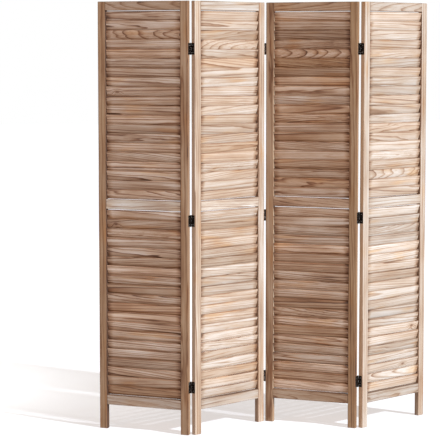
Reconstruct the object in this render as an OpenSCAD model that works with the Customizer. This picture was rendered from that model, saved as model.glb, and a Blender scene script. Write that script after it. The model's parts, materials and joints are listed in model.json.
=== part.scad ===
// Folding screen of four louvred panels with slats that turn.
// +Z is up, -Y is the front. Each panel's centre stands on the X axis.

/* [Screen] */
// Height of a panel from the floor to the top of its frame
panel_h = 1700; // [1500:10:2000]
// Width of a panel over its two stiles
panel_w = 385; // [320:5:460]
// Thickness of a panel's frame
frame_t = 20; // [19.5:0.5:26]
// Angle that neighbouring panels are folded away from one flat row
fold_angle = 66; // [10:1:120]

/* [Frame] */
// Width of a stile
stile_w = 33; // [30:1:45]
// Height of the top rail
top_rail_h = 36; // [28:1:60]
// Height of the middle rail
middle_rail_h = 39; // [28:1:60]
// Height of the bottom rail
bottom_rail_h = 39; // [28:1:70]
// Height of the legs, from the floor to the bottom rail
leg_h = 98; // [60:1:160]
// Height of the middle rail's underside above the floor
middle_rail_z = 883; // [700:1:1000]
// Radius of the eased long edges of the frame's boards
edge_r = 1.5; // [0.5:0.25:3]
// Length of the tenon at each end of a rail
tenon_len = 20; // [12:1:22]
// Thickness of a rail's tenon
tenon_t = 8; // [5:0.5:10]
// Height of the shoulder above and below a rail's tenon
tenon_shoulder = 6; // [4:0.5:9]
// Gap between a tenon and its mortise
tenon_clear = 0.1; // [0.05:0.05:0.3]

/* [Slats] */
// Width of a slat
slat_w = 40; // [30:0.5:44]
// Thickness of a slat
slat_t = 6; // [5.5:0.25:7]
// Radius of a slat's eased long edges
slat_edge_r = 1.5; // [0.5:0.25:2.5]
// Angle of a slat from upright, its top edge to the front
slat_tilt = 18.5; // [14:0.5:19]
// Least height by which a slat covers the next one below
slat_lap = 2.6; // [1:0.2:5]
// Gap between a rail's underside and the slat below it
slat_top_gap = 1.5; // [1:0.5:12]
// Gap between the lowest slat and the rail below it
slat_bottom_gap = 1; // [0.5:0.25:6]
// Gap between a slat's end and the stile
slat_end_gap = 1; // [0.5:0.25:2]
// Diameter of the round pin at each end of a slat
slat_pin_d = 5; // [3.5:0.25:5]
// Length of a slat's pin inside the stile
slat_pin_len = 8; // [5:0.5:12]
// Radial clearance of a slat's pin in its bore
slat_pin_clear = 0.05; // [0.02:0.01:0.1]
// Gap past the end of a pin or a screw in its blind bore
bore_end_gap = 0.5; // [0.25:0.25:1]

/* [Hinges] */
// Height of a hinge
hinge_h = 45; // [36:1:65]
// Gap between the edges of two panels in one flat row
panel_gap = 5; // [4.6:0.1:7]
// Distance of the hinge pin's axis from the panel's face
pin_proud = 1.5; // [1.4:0.1:3]
// Outer radius of a hinge knuckle
knuckle_r = 2.6; // [2.4:0.1:2.6]
// Thickness of a hinge leaf
leaf_t = 1.2; // [0.8:0.1:1.4]
// Distance of a leaf's free edge from the panel's far face
leaf_inset = 2; // [1.75:0.25:5]
// Gap between two neighbouring knuckles
knuckle_gap = 0.2; // [0.1:0.05:0.4]
// Gap between a knuckle and the notch in the other leaf
notch_clear = 0.3; // [0.2:0.05:0.5]
// Radius of the hinge pin
pin_r = 1.2; // [1:0.05:1.4]
// Radial clearance of the hinge pin in the knuckles
pin_clear = 0.05; // [0.02:0.01:0.1]
// Radius of the heads on a hinge pin
pin_head_r = 2; // [1.6:0.1:2.4]
// Height of a hinge pin's heads
pin_head_h = 1; // [0.6:0.1:1.5]
// Height of the bottom hinge's middle above the bottom rail's underside
bottom_hinge_rise = 90; // [60:1:200]
// Distance of the middle hinge's middle below the middle rail's underside
middle_hinge_drop = 37; // [30:1:120]
// Distance of the top hinge's middle below the top of the frame
top_hinge_drop = 185; // [80:1:300]

/* [Hinge screws] */
// Distance between the two screws of a leaf
screw_spacing = 28; // [18:1:28]
// Length of a screw's shank in the wood
screw_len = 12; // [8:0.5:13]
// Radius of a screw's shank
screw_r = 1.25; // [1:0.05:1.5]
// Radius of a screw's countersunk head
screw_head_r = 2.4; // [2:0.1:2.8]
// Length of a screw's point
screw_point_len = 3; // [2:0.5:5]
// Radius of a screw's blunt tip
screw_tip_r = 0.2; // [0.1:0.05:0.4]
// Gap round a screw in its leaf and in the wood
screw_clear = 0.05; // [0.02:0.01:0.1]
// Width of the cross cut in a screw's head
cross_w = 0.6; // [0.4:0.1:0.8]
// Length of the cross cut in a screw's head
cross_len = 2.6; // [2:0.1:3]
// Depth of the cross cut in a screw's head
cross_deep = 0.7; // [0.4:0.1:1]

/* [Hidden] */
$fn = 48;
eps = 0.01;

panel_count = 4;
knuckles = 5;
turning_first = 3;          // counted from the top of the upper opening
turning_count = 4;

opening_w = panel_w - 2 * stile_w;
bottom_rail_z = leg_h;
top_rail_z = panel_h - top_rail_h;
hinge_heights = [leg_h + bottom_hinge_rise, middle_rail_z - middle_hinge_drop, panel_h - top_hinge_drop];

// Where a panel and a seam stand. A seam's pin is proud of the panels' back where its side is 1, of their
// front where it is -1.
pin_out = (panel_w + panel_gap) / 2;
pin_deep = frame_t / 2 + pin_proud;
half_step = pin_out * cos(fold_angle / 2) + pin_deep * sin(fold_angle / 2);
function panel_x(n) = (2 * n - panel_count - 1) * half_step;
function panel_turn(n) = (n % 2 == 1 ? -1 : 1) * fold_angle / 2;
function seam_side(n) = n % 2 == 1 ? 1 : -1;

// The seam at a panel's left (-1) or right (1) edge, and whether there is one
function seam_at(n, side) = side < 0 ? n - 1 : n;
function hinged(n, side) = seam_at(n, side) > 0 && seam_at(n, side) < panel_count;

// Slats: their height on the slant, how many fill an opening, and the height of one of them
slat_rise = slat_w * cos(slat_tilt) + slat_t * sin(slat_tilt);
function slat_run(opening) = opening - slat_top_gap - slat_bottom_gap - slat_rise;
function slats_in(opening) = ceil(slat_run(opening) / (slat_rise - slat_lap)) + 1;
function slat_z(low, high, k) =
    high - slat_top_gap - slat_rise / 2 - (k - 1) * slat_run(high - low) / (slats_in(high - low) - 1);
upper_low = middle_rail_z + middle_rail_h;
upper_high = top_rail_z;
lower_low = bottom_rail_z + bottom_rail_h;
lower_high = middle_rail_z;
upper_count = slats_in(upper_high - upper_low);
lower_count = slats_in(lower_high - lower_low);
turning_last = turning_first + turning_count - 1;
fixed_upper = [for (k = [1:upper_count]) if (k < turning_first || k > turning_last) k];

wood = "burlywood";
slat_wood = "tan";
iron = "#2a2624";
steel = "#5a5652";

PANELS = [for (n = [1:panel_count]) str("panel_", n)];
SEAMS = [for (n = [1:panel_count - 1]) n];

// Stands its children in the place of panel n, whose frame is centred on x = 0, y = 0
module on_panel(n) translate([panel_x(n), 0, 0]) rotate(panel_turn(n)) children();

// Outline of a board with eased corners, w along x and t along y
module board_outline(w, t, r) {
    square([w - 2 * r, t], center = true);
    square([w, t - 2 * r], center = true);
    for (x = [-1, 1], y = [-1, 1])
        translate([x * (w / 2 - r), y * (t / 2 - r)]) circle(r);
}

// The tenon of a rail, from the shoulder at x = 0 out along x, grown by a clearance for its mortise
module tenon(rail_h, clear = 0)
    translate([-eps, -tenon_t / 2 - clear, tenon_shoulder - clear])
        cube([tenon_len + eps + clear, tenon_t + 2 * clear, rail_h - 2 * (tenon_shoulder - clear)]);

// side is -1 for the left stile and 1 for the right one
module stile(n, side) {
    color(wood) on_panel(n) difference() {
        translate([side * (panel_w - stile_w) / 2, 0, 0])
            linear_extrude(panel_h) board_outline(stile_w, frame_t, edge_r);
        translate([side * opening_w / 2, 0, 0]) mirror([side < 0 ? 1 : 0, 0, 0]) {
            translate([0, 0, bottom_rail_z]) tenon(bottom_rail_h, tenon_clear);
            translate([0, 0, middle_rail_z]) tenon(middle_rail_h, tenon_clear);
            translate([0, 0, top_rail_z]) tenon(top_rail_h, tenon_clear);
            for (k = [1:upper_count]) translate([0, 0, slat_z(upper_low, upper_high, k)]) slat_bore();
            for (k = [1:lower_count]) translate([0, 0, slat_z(lower_low, lower_high, k)]) slat_bore();
        }
        if (hinged(n, side)) on_leaf(side, seam_at(n, side)) screw_pair() screw_bore();
    }
}

module rail(n, z, h) {
    color(wood) on_panel(n) translate([0, 0, z]) {
        translate([-opening_w / 2, 0, h / 2]) rotate([90, 0, 90])
            linear_extrude(opening_w) board_outline(frame_t, h, edge_r);
        for (side = [0, 1]) mirror([side, 0, 0]) translate([opening_w / 2, 0, 0]) tenon(h);
    }
}

// A slat's blind bore in the stile, from the stile's inner face out along x
module slat_bore()
    translate([-eps, 0, 0]) rotate([0, 90, 0])
        cylinder(r = slat_pin_d / 2 + slat_pin_clear, h = slat_pin_len + bore_end_gap + eps);

// One slat with its two pins, its middle at the origin
module slat() {
    body_len = opening_w - 2 * slat_end_gap;
    translate([-body_len / 2, 0, 0]) rotate([90, 0, 90]) rotate(slat_tilt)
        linear_extrude(body_len) board_outline(slat_t, slat_w, slat_edge_r);
    for (side = [-1, 1])
        translate([side * (body_len / 2 - eps), 0, 0]) rotate([0, side * 90, 0])
            cylinder(d = slat_pin_d, h = slat_end_gap + slat_pin_len + eps);
}

module upper_slats(n) {
    color(slat_wood) on_panel(n)
        for (k = fixed_upper) translate([0, 0, slat_z(upper_low, upper_high, k)]) slat();
}

module lower_slats(n) {
    color(slat_wood) on_panel(n)
        for (k = [1:lower_count]) translate([0, 0, slat_z(lower_low, lower_high, k)]) slat();
}

module turning_slat(n, k) {
    color(slat_wood) on_panel(n)
        translate([0, 0, slat_z(upper_low, upper_high, turning_first + k - 1)]) slat();
}

// Stands its children at the hinge pins of a panel's left (-1) or right (1) edge, in a frame where the
// panel lies to the left of the pin and in front of it
module on_leaf(side, seam)
    translate([side * pin_out, seam_side(seam) * pin_deep, 0])
        mirror([side < 0 ? 1 : 0, 0, 0]) mirror([0, seam_side(seam) < 0 ? 1 : 0, 0])
            for (z = hinge_heights) translate([0, 0, z]) children();

// Height of the middle of knuckle i above the hinge's middle
function knuckle_z(i) = (i - (knuckles - 1) / 2) * hinge_h / knuckles;

// A hinge leaf with its knuckles: every other one, from the first (0) or the second (1)
module leaf(first) {
    leaf_back = pin_proud + frame_t - leaf_inset;
    difference() {
        union() {
            translate([-panel_gap / 2, -leaf_back, -hinge_h / 2]) cube([leaf_t, leaf_back, hinge_h]);
            for (i = [first:2:knuckles - 1]) translate([0, 0, knuckle_z(i)])
                cylinder(r = knuckle_r, h = hinge_h / knuckles - knuckle_gap, center = true);
        }
        for (i = [1 - first:2:knuckles - 1]) translate([0, 0, knuckle_z(i)])
            cylinder(r = knuckle_r + notch_clear, h = hinge_h / knuckles + knuckle_gap, center = true);
        cylinder(r = pin_r + pin_clear, h = hinge_h + 2 * eps, center = true);
        screw_pair() on_screw() {
            cylinder(r1 = screw_head_r + screw_clear, r2 = screw_r + screw_clear, h = leaf_t);
            translate([0, 0, -eps]) cylinder(r = screw_r + screw_clear, h = leaf_t + 2 * eps);
        }
    }
}

// The places of a leaf's two screws, above and below the hinge's middle
module screw_pair() for (z = [-1, 1]) translate([0, 0, z * screw_spacing / 2]) children();

// A screw's frame: the origin on the leaf's open face, +z into the wood
module on_screw()
    translate([-panel_gap / 2 + leaf_t, -pin_deep, 0]) rotate([0, -90, 0]) children();

module screw() {
    shank = leaf_t + screw_len - screw_point_len;
    on_screw() difference() {
        union() {
            cylinder(r1 = screw_head_r, r2 = screw_r, h = leaf_t);
            cylinder(r = screw_r, h = shank);
            translate([0, 0, shank]) cylinder(r1 = screw_r, r2 = screw_tip_r, h = screw_point_len);
        }
        for (turn = [0, 90]) rotate(turn) translate([-cross_len / 2, -cross_w / 2, -eps])
            cube([cross_len, cross_w, cross_deep + eps]);
    }
}

module screw_bore()
    on_screw() translate([0, 0, leaf_t - eps])
        cylinder(r = screw_r + screw_clear, h = screw_len + bore_end_gap + eps);

module hinge_pin() {
    shank = hinge_h + knuckle_gap;
    cylinder(r = pin_r, h = shank + 2 * eps, center = true);
    for (side = [0, 1]) mirror([0, 0, side]) translate([0, 0, shank / 2])
        cylinder(r = pin_head_r, h = pin_head_h);
}

module hinge_leaves(n, side) {
    color(iron) on_panel(n) on_leaf(side, seam_at(n, side)) leaf(side < 0 ? 1 : 0);
}

module hinge_pins(n) {
    color(iron) on_panel(n) on_leaf(1, n) hinge_pin();
}

module hinge_screws(n) {
    color(steel) on_panel(n) for (side = [-1, 1])
        if (hinged(n, side)) on_leaf(side, seam_at(n, side)) screw_pair() screw();
}

for (n = [1:panel_count]) {
    p = PANELS[n - 1];
    stile(n, -1);
    stile(n, 1);
    rail(n, top_rail_z, top_rail_h);
    rail(n, middle_rail_z, middle_rail_h);
    rail(n, bottom_rail_z, bottom_rail_h);
    upper_slats(n);
    lower_slats(n);
    hinge_screws(n);
    for (k = [1:turning_count])
        turning_slat(n, k);
}
for (n = SEAMS) {
    hinge_leaves(n, 1);
    hinge_leaves(n + 1, -1);
    hinge_pins(n);
}
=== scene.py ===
import json
import math

import bpy
import numpy as np
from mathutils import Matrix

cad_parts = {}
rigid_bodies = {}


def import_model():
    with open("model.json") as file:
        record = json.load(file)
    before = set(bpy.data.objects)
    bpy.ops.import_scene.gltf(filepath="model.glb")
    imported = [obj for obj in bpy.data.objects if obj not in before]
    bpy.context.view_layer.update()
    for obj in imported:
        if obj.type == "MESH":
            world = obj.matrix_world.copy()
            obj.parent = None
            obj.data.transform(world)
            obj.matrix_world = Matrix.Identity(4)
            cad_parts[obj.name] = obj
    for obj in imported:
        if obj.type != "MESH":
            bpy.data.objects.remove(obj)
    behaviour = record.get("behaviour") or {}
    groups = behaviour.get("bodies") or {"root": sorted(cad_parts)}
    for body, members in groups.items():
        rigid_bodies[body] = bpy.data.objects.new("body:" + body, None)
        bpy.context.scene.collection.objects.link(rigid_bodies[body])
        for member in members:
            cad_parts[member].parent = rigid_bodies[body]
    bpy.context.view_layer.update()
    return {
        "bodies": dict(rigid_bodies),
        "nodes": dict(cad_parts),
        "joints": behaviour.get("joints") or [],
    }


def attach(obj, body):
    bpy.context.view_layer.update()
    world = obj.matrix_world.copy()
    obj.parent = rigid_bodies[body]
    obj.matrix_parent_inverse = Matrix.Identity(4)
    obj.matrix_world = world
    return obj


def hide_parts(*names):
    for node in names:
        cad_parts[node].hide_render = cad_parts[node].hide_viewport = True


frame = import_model()
jointNamed = {joint["name"]: joint for joint in frame["joints"]}
panelNumbers = [number for number in range(1, 20) if f"panel_{number}" in frame["bodies"]]
print("frame loaded:", len(frame["nodes"]), "nodes,", len(panelNumbers), "panels")


class Wire:
    # one output socket of a material's nodes; arithmetic on it adds Math nodes
    def __init__(self, tree, socket=None):
        self.tree = tree
        self.socket = socket

    # any node: its type, its settings, then the values or links of its sockets, and the output to go on from
    def node(self, kind, settings=None, sockets=None, out=0):
        made = self.tree.nodes.new("ShaderNode" + kind)
        for name, value in (settings or {}).items():
            if name == "stops":
                fillRamp(made.color_ramp, value)
            else:
                setattr(made, name, value)
        for name, value in (sockets or {}).items():
            self.plug(value, made.inputs[name])
        return Wire(self.tree, made.outputs[out])

    def plug(self, value, socket):
        if isinstance(value, Wire):
            self.tree.links.new(value.socket, socket)
        else:
            socket.default_value = value

    def math(self, operation, *values):
        return self.node("Math", {"operation": operation}, dict(enumerate(values)))

    def vector(self, operation, *values):
        return self.node("VectorMath", {"operation": operation}, dict(enumerate(values)))

    def __add__(self, value):
        return self.math("ADD", self, value)

    def __radd__(self, value):
        return self.math("ADD", value, self)

    def __sub__(self, value):
        return self.math("SUBTRACT", self, value)

    def __rsub__(self, value):
        return self.math("SUBTRACT", value, self)

    def __mul__(self, value):
        return self.math("MULTIPLY", self, value)

    def __rmul__(self, value):
        return self.math("MULTIPLY", value, self)

    def __truediv__(self, value):
        return self.math("DIVIDE", self, value)

    def __pow__(self, value):
        return self.math("POWER", self, value)

    def __abs__(self):
        return self.math("ABSOLUTE", self)

    # 0 below low, 1 above high and a smooth rise between
    def rise(self, low, high):
        return self.node("MapRange", {"interpolation_type": "SMOOTHSTEP"}, {0: self, 1: low, 2: high})

    # the three numbers of this vector
    def parts(self):
        first = self.node("SeparateXYZ", {}, {0: self})
        names = ("Y", "Z")
        return (first, *(Wire(self.tree, first.socket.node.outputs[name]) for name in names))

    # the vector that a board carries at each of its points under this name
    def carried(self, name):
        return self.node("Attribute", {"attribute_name": name}, out="Vector")

    # noise about this place, between -0.5 and 0.5, with its own repeats per metre in each direction
    def noise(self, perMetre, detail, roughness):
        stretched = self.vector("MULTIPLY", self, perMetre)
        values = {"Vector": stretched, "Scale": 1.0, "Detail": detail, "Roughness": roughness}
        return self.node("TexNoise", {}, values) - 0.5

    # noise along this single number
    def noiseAlong(self, scale, detail):
        values = {"W": self, "Scale": scale, "Detail": detail}
        return self.node("TexNoise", {"noise_dimensions": "1D"}, values) - 0.5

    # from the first colour to the second, as this number goes from 0 to 1
    def mixed(self, first, second):
        return self.node("Mix", {"data_type": "RGBA"}, {0: self, 6: first, 7: second}, out=2)


def fillRamp(ramp, stops):
    while len(ramp.elements) < len(stops):
        ramp.elements.new(1.0)
    for element, (place, colour) in zip(ramp.elements, stops):
        element.position = place
        element.color = (*colour, 1.0)


def newSurface(name):
    material = bpy.data.materials.new(name)
    material.use_nodes = True
    return material, material.node_tree.nodes["Principled BSDF"], Wire(material.node_tree)


# wood: rings about the pith of the log that a board was sawn from, fine fibres along it, burnt edges, and
# painted shade between slats and along edges towards an opening;
# lengths are in metres, and what darkens the wood is a share of the way from its palest to its darkest colour
wood = dict(
    colours=[(0.0, (0.560, 0.470, 0.392)), (0.30, (0.396, 0.268, 0.178)),
             (0.66, (0.220, 0.110, 0.057)), (1.0, (0.088, 0.040, 0.020))],
    tan=0.19,                      # how dark the wood is under its grain
    contrast=1.0,                  # how strongly all of the grain shows
    ringGap=0.0064,                # from one ring to the next
    ringDepth=1.15,                # how dark the late wood of a ring is
    faintestRing=0.15,             # the least of it, to which chance adds up to 1
    lateWood=4.5,                  # how late in a ring its wood darkens
    ringEnd=(0.88, 1.0),           # and where in the ring it fades out
    unevenRings=3.2,               # by how many rings they crowd and thin out
    crowding=(0.33, 2.0),          # how often, per ring, and in how much detail
    drift=0.012,                   # how far rings wander over a hand's breadth
    sideDrift=0.5,                 # the share of the drift that also goes across the board
    ripple=0.0028,                 # how far they wander over a finger's breadth
    fibre=0.52,
    streak=0.41,
    vein=0.40,                     # how dark the thin straight lines along the grain are
    veinEdge=(0.12, 0.26),         # from faint to full, in the vein's noise
    pores=0.20,
    poreEdge=(0.16, 0.3),
    cloud=0.56,                    # how dark the soft patches are
    edgeBurnAndShade=0.36,                 # how dark the long edges are: burnt, and on slats also painted shade between them
    edgeReach=0.0032,              # and how far in
    edgePatches=(0.65, 1.6),       # how much of that darkening is everywhere, and how much is in patches
    narrowSide=(0.87, 0.975),      # where a board's narrow side begins, as a share of its half width
    openingShade=0.0,                 # painted shade: how dark the edge towards an opening is, where the slats meet the frame
    openingShadeEdge=(0.84, 0.97),        # and where it begins
    openingShadePatches=0.8,              # and how much of that painted shade is everywhere
    endBurn=0.35,                  # how dark the end grain is
    scorch=0.80,                   # how dark the ends of a slat are burnt
    scorchReach=0.027,             # and how far in
    scorchTongues=(0.03, 0.02),    # how much further along a streak and in a soft patch
    scorchPatches=(0.5, 2.0),      # how much of it is everywhere, and how much follows the streaks
    stain=(1.0, 0.86, 0.68),       # what the finish does to the wood where it soaked in deeply
    stained=(0.08, 0.30),          # from hardly to deeply, in the blush's noise
    stainStreaks=0.4,              # how much the stain follows the streaks
    blush=1.5,                     # how much warmer or cooler patches of a board are
    warmTint=(0.02, -0.022, -0.07),  # what one step of warmth adds to red, green and blue
    knotOval=0.62,                 # how wide a knot is beside its length
    knotSwirl=(0.2, 1.9),          # how far out rings bend round it, in its own radii
    knotHeart=(0.2, 0.62),         # and how far out its dark heart reaches
    knotPush=0.011,                # how far it pushes the rings out
    knotRings=6,                   # how closely its own rings lie
    knotTones=(0.35, 0.13),        # how dark its heart and the rings round it are
    # roughness: plain, and what rings, fibres and end grain add
    roughness=(0.66, -0.16, 0.22, 0.12),
    # height: what rings, fibres, streaks and a knot's heart add
    relief=(0.9, -0.55, 0.35, -0.6),
    reliefHeight=0.00035,
    reliefStrength=0.75,
    specular=0.42,
)
# noises in the wood: repeats per metre along the grain and across it, then their detail and roughness
noises = dict(
    drift=(3.2, 34.0, 1.0, 0.5),
    ripple=(15.0, 95.0, 1.0, 0.5),
    fibre=(6.0, 560.0, 4.0, 0.72),
    streak=(2.2, 110.0, 2.0, 0.5),
    vein=(1.1, 230.0, 1.5, 0.5),
    pore=(46.0, 900.0, 1.0, 0.5),
    cloud=(5.0, 17.0, 2.0, 0.5),
    blush=(6.0, 24.0, 1.0, 0.5),
)


# a knot: how far away it is in its own radii, where rings bend round it, and its dark heart
def knotMarks(start, look):
    along, across, present = start.carried("spot").parts()
    away = ((along * look["knotOval"]) ** 2 + across ** 2) ** 0.5
    swirl = present * (1 - away.rise(*look["knotSwirl"]))
    heart = present * (1 - away.rise(*look["knotHeart"]))
    return dict(away=away, swirl=swirl, heart=heart)


# rings: the distance from the pith, wandering, counted in ring gaps; each darkens late and stops sharply
def ringMarks(start, noise, figure, knot, look):
    _, through, across = start.carried("grain").parts()
    drift = noise["drift"] * (figure * look["drift"])
    ripple = noise["ripple"] * (figure * look["ripple"])
    through = through + drift + ripple
    across = across + drift * look["sideDrift"]
    radius = (through ** 2 + across ** 2) ** 0.5 + knot["swirl"] * look["knotPush"]
    count = radius / look["ringGap"]
    crowded = count.noiseAlong(*look["crowding"]) * look["unevenRings"]
    count = count + crowded + knot["heart"] * knot["away"] * look["knotRings"]
    phase = count.math("FRACT", count)
    late = (phase ** look["lateWood"]) * (1 - phase.rise(*look["ringEnd"]))
    tone = start.node("TexWhiteNoise", {"noise_dimensions": "1D"}, {"W": count.math("FLOOR", count)})
    return late * (tone + look["faintestRing"]) * look["ringDepth"]


# burns and painted shade: burnt long edges, and on slats also painted shade between them; darker narrow
# sides, with painted shade on some stiles and painted light on others; painted shade towards an opening; and
# burnt ends, deeper in along some fibres than along others.
# How far a point lies from a long edge is the sum of its ways to the sides across and through.
def burnAndShadeMarks(start, noise, half, look):
    acrossFace, throughFace, alongFace = start.carried("face").parts()
    endGrain, endBurnt, sideDarkness = start.carried("burn").parts()
    fromEdge = (1 - abs(acrossFace)) * half[0] + (1 - abs(throughFace)) * half[1]
    even, patchy = look["edgePatches"]
    # the long edges: burnt, and on slats also painted shade between them
    edge = (1 - fromEdge.rise(0.0, look["edgeReach"])) * (even + noise["cloud"] * patchy)
    # the narrow sides: darker, with painted shade on some stiles and painted light on others
    narrow = abs(acrossFace).rise(*look["narrowSide"])
    # painted shade along the edge towards an opening, where the slats meet the frame
    inner = acrossFace.rise(*look["openingShadeEdge"]) * (look["openingShadePatches"] + noise["cloud"])
    alongStreak, inCloud = look["scorchTongues"]
    fromEnd = (1 - abs(alongFace)) * half[2] + noise["streak"] * alongStreak + noise["cloud"] * inCloud
    even, patchy = look["scorchPatches"]
    scorch = (1 - fromEnd.rise(0.0, look["scorchReach"])) * (even + noise["streak"] * patchy) * endBurnt
    burntAndShaded = narrow * sideDarkness + inner * look["openingShade"] + edge * look["edgeBurnAndShade"]
    return burntAndShaded + endGrain * look["endBurn"] + scorch * look["scorch"], endGrain


# the wood of boards that have these half sizes across, through and along
def woodSurface(name, half, look):
    material, shader, start = newSurface(name)
    grain = start.carried("grain")
    noise = {}
    for kind, (along, across, detail, roughness) in noises.items():
        noise[kind] = grain.noise((along, across, across), detail, roughness)
    bright, warm, figure = start.carried("tone").parts()
    knot = knotMarks(start, look)
    rings = ringMarks(start, noise, figure, knot, look)
    burntAndShaded, endGrain = burnAndShadeMarks(start, noise, half, look)

    vein = noise["vein"].rise(*look["veinEdge"])
    pore = noise["pore"].rise(*look["poreEdge"])
    lines = rings + noise["fibre"] * look["fibre"] + noise["streak"] * look["streak"]
    lines = lines + vein * look["vein"] + pore * look["pores"] + noise["cloud"] * look["cloud"]
    heartTone, swirlTone = look["knotTones"]
    dark = lines * look["contrast"] + burntAndShaded + look["tan"]
    dark = dark + knot["heart"] * heartTone + knot["swirl"] * swirlTone
    colour = start.node("ValToRGB", {"stops": look["colours"]}, {0: dark})

    # some patches drank the finish deeply, and some took it more warmly than others
    soaked = (noise["blush"] + noise["streak"] * look["stainStreaks"]).rise(*look["stained"])
    colour = soaked.mixed(colour, colour.vector("MULTIPLY", colour, look["stain"]))
    warm = warm + noise["blush"] * look["blush"]
    red, green, blue = look["warmTint"]
    shares = {0: bright + warm * red, 1: bright + warm * green, 2: bright + warm * blue}
    tint = start.node("CombineXYZ", {}, shares)
    start.plug(colour.vector("MULTIPLY", colour, tint), shader.inputs["Base Color"])

    plain, byRing, byFibre, byEnd = look["roughness"]
    rough = plain + rings * byRing + noise["fibre"] * byFibre + endGrain * byEnd
    start.plug(rough, shader.inputs["Roughness"])
    byRing, byFibre, byStreak, byHeart = look["relief"]
    height = rings * byRing + noise["fibre"] * byFibre + noise["streak"] * byStreak + knot["heart"] * byHeart
    relief = {"Strength": look["reliefStrength"], "Distance": look["reliefHeight"], "Height": height}
    start.plug(start.node("Bump", {}, relief), shader.inputs["Normal"])
    shader.inputs["Specular IOR Level"].default_value = look["specular"]
    return material


# black hinge iron: satin lacquer with scuffs where hands and tools have rubbed it, more of them on the screws
iron = dict(
    lacquer=(0.050, 0.038, 0.032),
    rubbed=(0.42, 0.39, 0.37),
    rub=(70.0, 4.0, 0.65),    # noises: repeats per metre, detail and roughness
    grit=(900.0, 2.0, 0.5),
    scuffs=(0.07, 0.22),      # from which noise on the iron begins to be rubbed, and is rubbed most
    gritInScuffs=0.35,
    rubbedThrough=0.7,        # how much of the lacquer is gone there
    roughness=(0.27, 0.3, 0.12),  # plain, and what rub and scuffs add
    metallic=0.9,
    gritInRelief=0.5,
    reliefHeight=0.0002,
    reliefStrength=0.5,
)
screw = dict(
    iron,
    lacquer=(0.32, 0.30, 0.28),
    rubbed=(0.60, 0.57, 0.54),
    scuffs=(-0.05, 0.2),
    roughness=(0.30, 0.3, 0.12),
)


def ironSurface(name, look):
    material, shader, start = newSurface(name)
    place = start.node("TexCoord", {}, out="Object")
    noise = {}
    for kind in ("rub", "grit"):
        perMetre, detail, roughness = look[kind]
        noise[kind] = place.noise((perMetre,) * 3, detail, roughness)
    scuff = (noise["rub"] + noise["grit"] * look["gritInScuffs"]).rise(*look["scuffs"])
    colour = (scuff * look["rubbedThrough"]).mixed((*look["lacquer"], 1), (*look["rubbed"], 1))
    start.plug(colour, shader.inputs["Base Color"])
    plain, byRub, byScuff = look["roughness"]
    start.plug(plain + noise["rub"] * byRub + scuff * byScuff, shader.inputs["Roughness"])
    height = noise["rub"] + noise["grit"] * look["gritInRelief"]
    relief = {"Strength": look["reliefStrength"], "Distance": look["reliefHeight"], "Height": height}
    start.plug(start.node("Bump", {}, relief), shader.inputs["Normal"])
    shader.inputs["Metallic"].default_value = look["metallic"]
    return material


# a panel's own frame: its centre on the floor, and three rows, along its width, front to back, and up
def panelFrame(number):
    joint = jointNamed[f"turn_{number}_1"]
    along = np.array(joint["axis"]) / np.linalg.norm(joint["axis"])
    centre = np.array([joint["pos_m"][0], joint["pos_m"][1], 0.0])
    return centre, np.array([along, [-along[1], along[0], 0.0], [0.0, 0.0, 1.0]])


# lowest and highest corner of a node in a panel's own frame
def nodeBox(node, place):
    centre, rows = place
    mesh = frame["nodes"][node].data
    points = np.empty(len(mesh.vertices) * 3, np.float32)
    mesh.vertices.foreach_get("co", points)
    local = (points.reshape(-1, 3) - centre) @ rows.T
    return local.min(axis=0), local.max(axis=0)


# where a panel's left stile ends and its opening begins, left of the panel's middle
def openingEdge(number, place):
    return nodeBox(f"panel_{number}_left_stile", place)[1][0]


# A closed bar along its third axis. Its outline at each station is a rectangle of these half sizes whose
# corners are quarter circles of radius ease, drawn about centres that lie that radius inside the edges. The
# first and the last outline are drawn in by endEase, and a flat face closes each end.
def bar(stations, half, ease, endEase, cornerPoints):
    count = len(stations)
    drawnIn = np.zeros(count)
    drawnIn[[0, -1]] = endEase
    quarter = np.arange(4)[:, None] * 0.5 * math.pi
    angle = (quarter + np.linspace(0, 0.5 * math.pi, cornerPoints)).ravel()
    corner = np.repeat(np.arange(4), cornerPoints)
    normal = np.stack([np.cos(angle), np.sin(angle)], axis=1)
    side = np.array([[1, 1], [-1, 1], [-1, -1], [1, -1]])[corner]
    radius = np.broadcast_to(ease, (count, 4))[:, corner]
    middle = side * (np.array(half[:2]) - radius[..., None])
    outline = middle + (radius - drawnIn[:, None])[..., None] * normal
    along = np.broadcast_to(stations[:, None, None], (*outline.shape[:2], 1))
    places = np.concatenate([outline, along], axis=2)

    around = len(angle)
    index = np.arange(count * around).reshape(count, around)
    after = np.roll(index, -1, axis=1)
    quads = np.stack([index[:-1], after[:-1], after[1:], index[1:]], axis=2).reshape(-1, 4)
    ends = [index[0, ::-1], index[-1]]

    # normals of the faces' corners: straight out on the sides, halfway at the eased ends
    lean = np.zeros(count)
    lean[[0, -1]] = (-1.0, 1.0)
    sideways = np.broadcast_to(normal, (count, around, 2))
    lengthways = np.broadcast_to(lean[:, None, None], (count, around, 1))
    out = np.concatenate([sideways, lengthways], axis=2).reshape(-1, 3)
    out /= np.linalg.norm(out, axis=1, keepdims=True)
    endFacing = [np.tile([0.0, 0.0, way], (around, 1)) for way in (-1.0, 1.0)]
    facing = np.concatenate([out[quads].reshape(-1, 3), *endFacing])
    endGrain = np.where(drawnIn > 0, 1.0, 0.0).repeat(around)
    return dict(places=places.reshape(-1, 3), quads=quads, ends=ends, facing=facing, endGrain=endGrain)


# a bar carried into the room: its middle and its three axes are given in the panel's frame
def placed(solid, marks, middle, axes, place):
    centre, rows = place
    turned = np.array(axes) @ rows
    places = solid["places"] @ turned + np.array(middle) @ rows + centre
    return dict(solid, places=places, facing=solid["facing"] @ turned, marks=marks)


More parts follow.
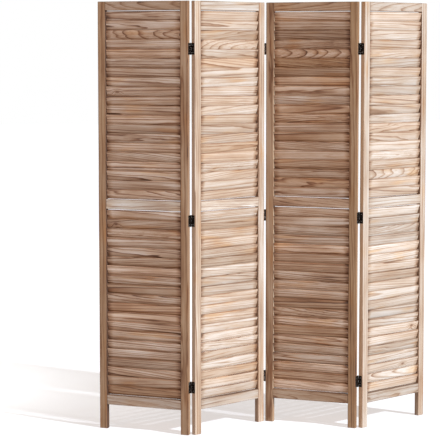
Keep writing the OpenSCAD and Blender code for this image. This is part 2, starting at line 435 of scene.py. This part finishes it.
# axes of a board that lies along its panel, tilted about its length, and of one that stands upright
def lyingAxes(tilt):
    return [(0, -math.sin(tilt), math.cos(tilt)), (0, -math.cos(tilt), -math.sin(tilt)), (1, 0, 0)]


uprightAxes = [(1, 0, 0), (0, 1, 0), (0, 0, 1)]


# puts several placed bars into one mesh, with the marks that their wood reads
def pieceOf(name, bars, material):
    places = []
    faces = []
    facing = []
    start = 0
    for solid in bars:
        places.append(solid["places"])
        faces += (solid["quads"] + start).tolist() + [(end + start).tolist() for end in solid["ends"]]
        facing.append(solid["facing"])
        start += len(solid["places"])
    mesh = bpy.data.meshes.new(name)
    mesh.from_pydata(np.concatenate(places).tolist(), [], faces)
    mesh.polygons.foreach_set("use_smooth", np.ones(len(faces), bool))
    mesh.normals_split_custom_set(np.concatenate(facing).tolist())
    for key in ("grain", "tone", "spot", "face", "burn"):
        values = np.concatenate([solid["marks"][key] for solid in bars]).astype(np.float32)
        mesh.attributes.new(key, "FLOAT_VECTOR", "POINT").data.foreach_set("vector", values.ravel())
    mesh.materials.append(material)
    piece = bpy.data.objects.new(name, mesh)
    bpy.context.scene.collection.objects.link(piece)
    return piece


# what every board has: where in the log it was sawn, how pale and warm it is, and its knots
board = dict(
    logLength=50,             # the wood that boards are taken from, in metres
    figure=(0.35, 1.5),       # how much its rings wander
    wildSlope=(0.05, 0.15),   # how steeply a board that is sawn across its rings crosses them
    wildFigure=0.5,           # and its rings' wandering, beside that of others
    paler=1.0,
    coolness=6,               # how much cooler a paler board is
    outerWarm=0.0,            # painted warm shade: how much warmer its shaded side away from the opening is
    outerEdge=-0.97,          # and where across the board that side begins
    knotRadius=(0.007, 0.013),
    knotReach=(0.42, 0.6),    # how far off the middle a knot may lie: of the length, and of the half width
)


# What the wood reads at each point of a board. grain is the place in the log: along it, and two distances
# from the pith, which runs slightly askew to the board, so that each is the place in the board plus a start
# plus a slope times the place along. tone is brightness, warmth and how much the rings wander, with a painted
# warm shade on one stile's shaded outer side. spot is the place about the knot, in its radii. face is the
# place across, through and along, from -1 to 1, and the edge towards an opening is at 1 across, or both
# edges are where inner is 0. The last mark is 1 on end grain, then how much the ends are burnt and how dark
# the sides are, which on some stiles is painted shade and painted light.
def boardMarks(solid, half, look, rng, inner=1):
    halfWide, halfThick, halfLong = half
    wide, thick, along = solid["places"].T
    spread = look["spread"]
    # now and then a board is sawn across its rings, which then show as calm arcs
    wild = rng.random() <= look["wild"]
    slope = rng.uniform(*look["wildSlope"]) * rng.choice([-1, 1]) if wild else rng.normal(0, look["slope"])
    depth = rng.uniform(*look["pith"]) * rng.choice([-1, 1])
    offset = rng.normal(0, look["offset"])
    askew = rng.normal(0, look["askew"])
    far = rng.uniform(0, look["logLength"])
    grain = np.stack([along + far, thick + depth + slope * along, wide + offset + askew * along], axis=1)

    paleness = (1 + np.clip(rng.normal(0, spread), -2 * spread, 2 * spread)) * look["paler"]
    warm = rng.normal(look["warm"], look["warmSpread"]) - (paleness - 1) * look["coolness"]
    figure = rng.uniform(*look["figure"]) * (look["wildFigure"] if wild else 1.0)
    towards = inner * wide if inner else abs(wide)
    tone = np.tile((paleness * look["bright"], warm, figure), (len(along), 1))
    # painted warm shade on the side away from the opening, where it stands in shade
    tone[:, 1] += look["outerWarm"] * (towards < look["outerEdge"] * halfWide)

    knotRadius = rng.uniform(*look["knotRadius"])
    reachAlong, reachAcross = look["knotReach"]
    knotAlong = along - rng.uniform(-reachAlong, reachAlong) * 2 * halfLong
    knotAcross = wide - rng.uniform(-reachAcross, reachAcross) * halfWide
    hasKnot = np.full(len(along), float(rng.random() < look["knots"]))
    spot = np.stack([knotAlong / knotRadius, knotAcross / knotRadius, hasKnot], axis=1)

    face = np.stack([towards / halfWide, thick / halfThick, along / halfLong], axis=1)
    ends = rng.uniform(*look["ends"], 2)
    endBurnt = (ends[0] + ends[1]) / 2 + (ends[1] - ends[0]) * along / (2 * halfLong)
    # how dark the narrow sides are; on some stiles this is painted shade (darker) and painted light (paler)
    sideDarkness = np.where(towards > 0, look.get("innerSide", look["side"]), look["side"])
    burn = np.stack([solid["endGrain"], endBurnt, sideDarkness], axis=1)
    return dict(grain=grain, tone=tone, spot=spot, face=face, burn=burn)


# stiles and rails: long edges eased by hand, so that their roundness varies; lengths in metres
stile = dict(
    board,
    ease=0.0015,
    easeSpread=0.5,           # how much the roundness varies
    easeWaves=(4, 22),        # how often, in radians per metre
    cornerPoints=4,
    endEase=0.0012,
    spacing=0.03,             # between two outlines
    slope=0.008,              # how askew the pith runs, through the board
    askew=0.008,              # and across it
    wild=0.0,                 # how many boards are sawn across their rings
    pith=(0.02, 0.09),        # how far away the pith is
    offset=0.04,
    spread=0.04,              # how much boards differ in paleness
    bright=0.64,
    warm=1.3,
    warmSpread=0.3,
    knots=0.0,
    ends=(0.0, 0.0),          # how much the ends are scorched
    side=0.12,                # how dark the narrow sides are
)
rail = dict(
    board,
    ease=0.0015,
    easeSpread=0.5,
    easeWaves=(4, 22),
    cornerPoints=4,
    endEase=0.0006,
    spacing=0.02,
    slope=0.04,
    askew=0.03,
    wild=0.2,
    pith=(0.015, 0.07),
    offset=0.02,
    spread=0.05,
    bright=0.83,
    warm=-0.4,
    warmSpread=0.4,
    knots=0.0,
    ends=(0.1, 0.3),
    side=0.22,
)
# how dark the sides of a stile are, towards its panel's opening and away from it, where they differ
# painted shade where above 0 and painted light where below 0, on these narrow sides
innerSideShadeAndLight = dict(
    panel_1_left_stile=0.5, panel_3_left_stile=-0.3, panel_2_right_stile=-0.1, panel_4_right_stile=-0.1,
)
outerSideShadeAndLight = dict(
    panel_1_left_stile=0.9, panel_2_left_stile=-0.4, panel_3_left_stile=0.9, panel_4_left_stile=-0.4,
)
# and painted warm shade: how much warmer the shaded side away from the opening is
outerSideWarmShade = dict(panel_4_left_stile=3.0)
# boards sawn from another place in the log
sawnElsewhere = dict(panel_4_middle_rail=22)
# boards that are paler (above 1) or darker than the others, and how much warmer they are
# the stiles of the odd panels, which stand in shade, are darker and those of the lit even panels paler:
# painted shade and painted light
boardTones = dict(
    panel_1_left_stile=(0.82, -0.5),
    panel_1_right_stile=(0.79, 0.0),
    panel_2_right_stile=(1.26, -0.3),
    panel_3_left_stile=(0.86, 0.0),
    panel_3_right_stile=(0.75, -0.9),
    panel_4_left_stile=(1.17, 0.0),
    panel_4_right_stile=(1.22, 0.3),
    panel_1_top_rail=(0.78, 0.3),
    panel_2_top_rail=(0.90, -1.3),
    panel_3_top_rail=(0.83, 1.2),
    panel_4_top_rail=(0.84, -0.6),
    panel_1_middle_rail=(1.61, -3.2),
    panel_2_middle_rail=(1.30, -1.9),
    panel_3_middle_rail=(0.98, 0.3),
    panel_4_middle_rail=(1.12, -1.4),
    panel_1_bottom_rail=(0.875, -0.9),
    panel_2_bottom_rail=(0.825, -1.4),
    panel_3_bottom_rail=(0.68, 0.3),
    panel_4_bottom_rail=(0.735, -1.8),
)


# one stile, or one rail between the stiles, whose tenons lie inside them
def frameBoard(node, number, surface):
    place = panelFrame(number)
    low, high = nodeBox(node, place)
    rng = np.random.default_rng([number, sum(node.encode()) + sawnElsewhere.get(node, 0)])
    look = stile if node.endswith("stile") else rail
    pale, warmer = boardTones.get(node, (1.0, 0.0))
    # some stiles' narrow sides get painted shade and painted light, and one a painted warm shade
    look = dict(look, paler=pale, warm=look["warm"] + warmer, outerWarm=outerSideWarmShade.get(node, 0.0),
                side=outerSideShadeAndLight.get(node, look["side"]), innerSide=innerSideShadeAndLight.get(node, look["side"]))
    inner = dict(left=1, right=-1, top=-1, middle=0, bottom=1)[node.split("_")[2]]
    if node.endswith("stile"):
        axes = uprightAxes
        half = (high - low) / 2
    else:
        axes = lyingAxes(0)
        edge = openingEdge(number, place)
        low[0] = edge
        high[0] = -edge
        half = (high - low)[::-1] / 2
    halfLong = half[2]
    full = halfLong - look["endEase"]
    stations = np.linspace(-full, full, max(4, round(2 * halfLong / look["spacing"])))
    stations = np.concatenate([[-halfLong], stations, [halfLong]])
    # each corner's roundness is the mean of three sine waves along the board
    often = rng.uniform(*look["easeWaves"], (3, 4))
    sway = np.sin(stations[:, None, None] * often + rng.uniform(0, math.tau, (3, 4))).mean(axis=1)
    ease = look["ease"] * (1 + look["easeSpread"] * (1 + sway))
    solid = bar(stations, half, ease, look["endEase"], look["cornerPoints"])
    marks = boardMarks(solid, half, look, rng, inner)
    piece = pieceOf(node + "_board", [placed(solid, marks, (low + high) / 2, axes, place)], surface)
    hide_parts(node)
    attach(piece, f"panel_{number}")


# slats, with a round pin at each end; lengths in metres
slat = dict(
    board,
    wide=0.040,
    thick=0.006,
    tilt=math.radians(18.5),
    tiltSpread=0.012,         # how far off true it stands
    ease=0.0015,
    cornerPoints=3,
    endEase=0.0006,
    endGap=0.001,             # from its end to the stile
    pinRadius=0.0025,
    pinLength=0.008,
    draw=100,                 # another number gives other boards
    slope=0.022,
    askew=0.035,
    wild=0.12,
    pith=(0.010, 0.06),
    offset=0.045,
    bright=0.93,
    warm=0.1,
    warmSpread=0.7,
    knots=0.02,
    ends=(0.3, 1.3),
    side=0.22,
)
# a slat with no turning slat beside it stands less true
looseSlat = dict(slat, tiltSpread=0.030)
# the slats of a panel: how pale and how warm they are, beside the others, and how much they vary
# the warmer slats of the shaded odd panels and the cooler ones of the lit even panels are painted shade and
# light
slatTones = {1: (1.03, 0.0, 0.14), 2: (1.02, -0.5, 0.13), 3: (1.04, 0.6, 0.15), 4: (1.12, -0.9, 0.12)}
# painted light and shade from below: how pale the lower slats are beside the upper ones, where they differ
lowerSlatsLightAndShade = {1: 1.045, 3: 1.055, 4: 0.975}


# one slat and its two pins, at a height in a panel
def slatBars(number, height, place, look):
    rng = np.random.default_rng([number, look["draw"] + round(height * 1000)])
    pale, warmer, spread = slatTones[number]
    look = dict(look, paler=pale, warm=look["warm"] + warmer, spread=spread)
    halfLong = -openingEdge(number, place) - look["endGap"]
    half = (look["wide"] / 2, look["thick"] / 2, halfLong)
    full = halfLong - look["endEase"]
    stations = np.array([-halfLong, -full, 0.0, full, halfLong])
    solid = bar(stations, half, look["ease"], look["endEase"], look["cornerPoints"])
    marks = boardMarks(solid, half, look, rng)
    axes = lyingAxes(look["tilt"] + rng.uniform(-1, 1) * look["tiltSpread"])
    bars = [placed(solid, marks, (0, 0, height), axes, place)]
    radius = look["pinRadius"]
    pinHalf = (look["pinLength"] + look["endGap"] + look["endEase"]) / 2
    for side in (-1, 1):
        pin = bar(np.array([-pinHalf, pinHalf]), (radius, radius), radius, 0.0, look["cornerPoints"])
        pinMarks = boardMarks(pin, (look["wide"], look["thick"], halfLong), look, rng)
        pinMarks["tone"] = np.tile(marks["tone"][0], (len(pin["places"]), 1))
        bars.append(placed(pin, pinMarks, (side * (full + pinHalf), 0, height), lyingAxes(0), place))
    return bars


# heights of the slats of an opening, evenly spaced from the highest to the lowest
def slatHeights(high, low, rise, pitch):
    first = high - rise / 2
    last = low + rise / 2
    return np.linspace(first, last, round((first - last) / pitch) + 1)


# the turning slats of a panel, each a piece of its own at the height of its joint; returns those heights
def turningSlats(number, place, surface):
    heights = {}
    for node in frame["nodes"]:
        if node.startswith(f"panel_{number}_turning_slat_"):
            heights[node] = jointNamed[f"turn_{number}_{node.split('_')[-1]}"]["pos_m"][2]
    for node, height in heights.items():
        piece = pieceOf(node + "_board", slatBars(number, height, place, slat), surface)
        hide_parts(node)
        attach(piece, node)
    return heights


# the fixed slats of a panel's upper or lower opening, in one piece
def fixedSlats(number, level, place, turning, surface):
    node = f"panel_{number}_{level}_slats"
    low, high = nodeBox(node, place)
    ordered = sorted(turning.values(), reverse=True)
    pitch = ordered[0] - ordered[1]
    turningLow, turningHigh = nodeBox(next(iter(turning)), place)
    # painted light on the lower slats of the first and third panels and painted shade on those of the fourth
    paler = lowerSlatsLightAndShade.get(number, 1.0) if level == "lower" else 1.0
    bars = []
    for height in slatHeights(high[2], low[2], turningHigh[2] - turningLow[2], pitch):
        placesApart = round(min(abs(height - other) for other in ordered) / pitch)
        if placesApart > 0:
            look = looseSlat if placesApart > 1 else slat
            bars += slatBars(number, height, place, dict(look, bright=look["bright"] * paler))
    piece = pieceOf(node + "_boards", bars, surface)
    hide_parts(node)
    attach(piece, f"panel_{number}")
    print(node, "has", len(bars) // 3, "slats")


def dressPanel(number, surfaces):
    place = panelFrame(number)
    for side in ("left", "right"):
        frameBoard(f"panel_{number}_{side}_stile", number, surfaces["stile"])
    for level in ("top", "middle", "bottom"):
        frameBoard(f"panel_{number}_{level}_rail", number, surfaces["rail"])
    # painted shade and light: the odd panels, which stand in shade, get slats of stronger grain and darker
    # edge lines, and the lit even panels calmer ones
    slatSurface = surfaces["slat"] if number % 2 else surfaces["litPanelSlat"]
    turning = turningSlats(number, place, slatSurface)
    for level in ("upper", "lower"):
        fixedSlats(number, level, place, turning, slatSurface)
    print("panel", number, "dressed")


# the wood of each kind of board, whose half sizes are those of the first panel's boards
def boardSurfaces(number):
    place = panelFrame(number)
    halfOpening = -openingEdge(number, place)
    stileHalf = np.ptp(nodeBox(f"panel_{number}_left_stile", place), axis=0) / 2
    railHalf = np.ptp(nodeBox(f"panel_{number}_top_rail", place), axis=0)[::-1] / 2
    railHalf[2] = halfOpening
    slatHalf = (slat["wide"] / 2, slat["thick"] / 2, halfOpening - slat["endGap"])
    # stiles and rails get painted shade along their edges towards the openings
    stileWood = dict(wood, openingShade=0.3)
    railWood = dict(wood, openingShade=0.22, ringDepth=0.85, cloud=0.36, streak=0.34, blush=0.9,
                    stain=(1.0, 0.93, 0.84))
    # two copies of the slat wood: stronger grain and darker edge lines for the shaded odd panels, calmer for
    # the lit even panels, which is painted shade and light
    shadedPanelSlatWood = dict(wood, contrast=1.28, edgeBurnAndShade=0.42, tan=0.17)
    litPanelSlatWood = dict(wood, contrast=0.76, edgeBurnAndShade=0.28, tan=0.21)
    return dict(
        stile=woodSurface("stileWood", stileHalf, stileWood),
        rail=woodSurface("railWood", railHalf, railWood),
        slat=woodSurface("shadedPanelSlatWood", slatHalf, shadedPanelSlatWood),
        litPanelSlat=woodSurface("litPanelSlatWood", slatHalf, litPanelSlatWood),
    )


surfaces = boardSurfaces(panelNumbers[0])
for number in panelNumbers:
    dressPanel(number, surfaces)

hingeIron = ironSurface("hingeIron", iron)
screwSteel = ironSurface("screwSteel", screw)
for name, node in frame["nodes"].items():
    if "hinge" in name:
        node.data.materials.clear()
        node.data.materials.append(screwSteel if "screws" in name else hingeIron)
print("hinges finished")


# the room: a pale floor that glows a little, as a lit studio floor does, and a white surround
room = dict(
    floorSize=60.0,
    floorColour=(0.33, 0.33, 0.34),
    floorRoughness=0.9,
    floorGlow=0.65,
    glowColour=(1.0, 0.94, 0.915),
    background=1.0,           # how bright the surround looks
    surround=0.06,            # and how much light it gives
)


def makeRoom(look):
    half = look["floorSize"] / 2
    corners = [(-half, -half, 0), (half, -half, 0), (half, half, 0), (-half, half, 0)]
    mesh = bpy.data.meshes.new("floor")
    mesh.from_pydata(corners, [], [(0, 1, 2, 3)])
    floor = bpy.data.objects.new("floor", mesh)
    bpy.context.scene.collection.objects.link(floor)
    material, shader, start = newSurface("paleFloor")
    shader.inputs["Base Color"].default_value = (*look["floorColour"], 1)
    shader.inputs["Roughness"].default_value = look["floorRoughness"]
    shader.inputs["Specular IOR Level"].default_value = 0.0
    shader.inputs["Emission Color"].default_value = (*look["glowColour"], 1)
    shader.inputs["Emission Strength"].default_value = look["floorGlow"]
    mesh.materials.append(material)
    world = bpy.data.worlds.new("surround")
    world.use_nodes = True
    bpy.context.scene.world = world
    start = Wire(world.node_tree)
    seen = start.node("LightPath", {}, out="Is Camera Ray")
    strength = seen * (look["background"] - look["surround"]) + look["surround"]
    start.plug(strength, world.node_tree.nodes["Background"].inputs["Strength"])
    world.node_tree.nodes["Background"].inputs["Color"].default_value = (1, 1, 1, 1)


# lamps: where each stands and what it points at, in metres. The key is a far lamp that stands in that
# direction, the fill and the rim are large soft boxes in front and behind, and the floor lamp is a soft spot
# high over the floor at the left, where it thins the screen's shadow.
lamps = dict(
    key=dict(place=(3.52, -3.59, 4.00), aim=(0, 0, 0.85), spread=math.radians(2.2), strength=7.25,
             colour=(0.93, 1.03, 1.14)),
    fill=dict(place=(-5.05, -4.43, 2.60), aim=(0, 0, 0.85), size=3.0, watts=110.0,
              colour=(1.0, 0.535, 0.292)),
    rim=dict(place=(1.60, 6.20, 3.00), aim=(0, 0, 0.85), size=3.0, watts=125.0,
             colour=(1.0, 0.88, 0.76)),
    floorLamp=dict(place=(-1.80, 1.25, 3.50), aim=(-1.80, 1.15, 0), size=0.5, cone=math.radians(45),
                   watts=1080.0, colour=(0.93, 1.0, 1.0)),
)


def makeLamp(name, look):
    if "spread" in look:
        data = bpy.data.lights.new(name, "SUN")
        data.angle = look["spread"]
        data.energy = look["strength"]
    elif "cone" in look:
        data = bpy.data.lights.new(name, "SPOT")
        data.spot_size = look["cone"]
        data.spot_blend = 1.0
        data.shadow_soft_size = look["size"]
        data.energy = look["watts"]
    else:
        data = bpy.data.lights.new(name, "AREA")
        data.shape = "DISK"
        data.size = look["size"]
        data.energy = look["watts"]
    data.color = look["colour"]
    lamp = bpy.data.objects.new(name, data)
    away = np.array(look["place"]) - np.array(look["aim"])
    tilt = math.acos(away[2] / np.linalg.norm(away))
    lamp.location = look["place"]
    lamp.rotation_euler = (tilt, 0, math.atan2(away[1], away[0]) + math.pi / 2)
    lamp.visible_camera = False
    bpy.context.scene.collection.objects.link(lamp)


# the camera, in metres and radians; the small shift frames the screen
view = dict(
    place=(-1.557, -6.856, 1.502),
    heading=math.radians(11.16),
    pitch=math.radians(5.07),
    lens=144.63,              # and the sensor's width, in millimetres
    sensor=36,
    shift=-0.025,
)


def makeCamera(look):
    data = bpy.data.cameras.new("camera")
    data.lens = look["lens"]
    data.sensor_width = look["sensor"]
    data.shift_y = look["shift"]
    data.dof.use_dof = False
    camera = bpy.data.objects.new("camera", data)
    camera.location = look["place"]
    camera.rotation_euler = (math.pi / 2 - look["pitch"], 0, -look["heading"])
    bpy.context.scene.collection.objects.link(camera)
    bpy.context.scene.camera = camera


makeRoom(room)
for name, look in lamps.items():
    makeLamp(name, look)
makeCamera(view)
bpy.context.scene.view_settings.view_transform = "Standard"
print("room, lamps and camera ready")
